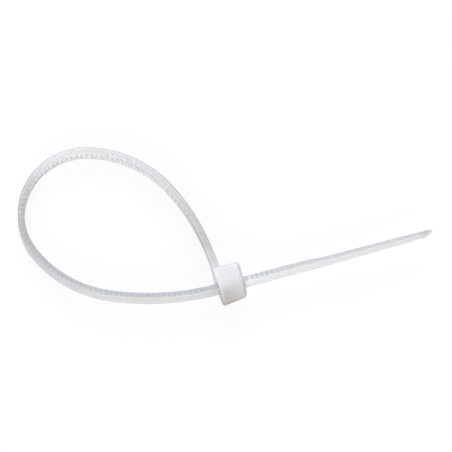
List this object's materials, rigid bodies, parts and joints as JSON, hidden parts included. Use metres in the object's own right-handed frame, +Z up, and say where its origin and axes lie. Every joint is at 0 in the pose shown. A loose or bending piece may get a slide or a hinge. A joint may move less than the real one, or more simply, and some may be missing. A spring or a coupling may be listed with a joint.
{
  "type": "cable tie",
  "caption": "Small self-locking cable tie in translucent natural nylon, closed into a teardrop loop with its strap pulled through the head and a straight tail.",
  "frame": {"origin": "on the surface the tie rests on, under the middle of its outline", "axes": "+X along the longest side of the resting tie, towards the tail; +Y towards the far side of the loop; +Z up"},
  "size_m": [0.0536, 0.0207, 0.0047],
  "materials": {
    "nylon": "translucent, soft sheen"
  },
  "bodies": {
    "root": {"cable_tie": "nylon"}
  },
  "joints": []
}
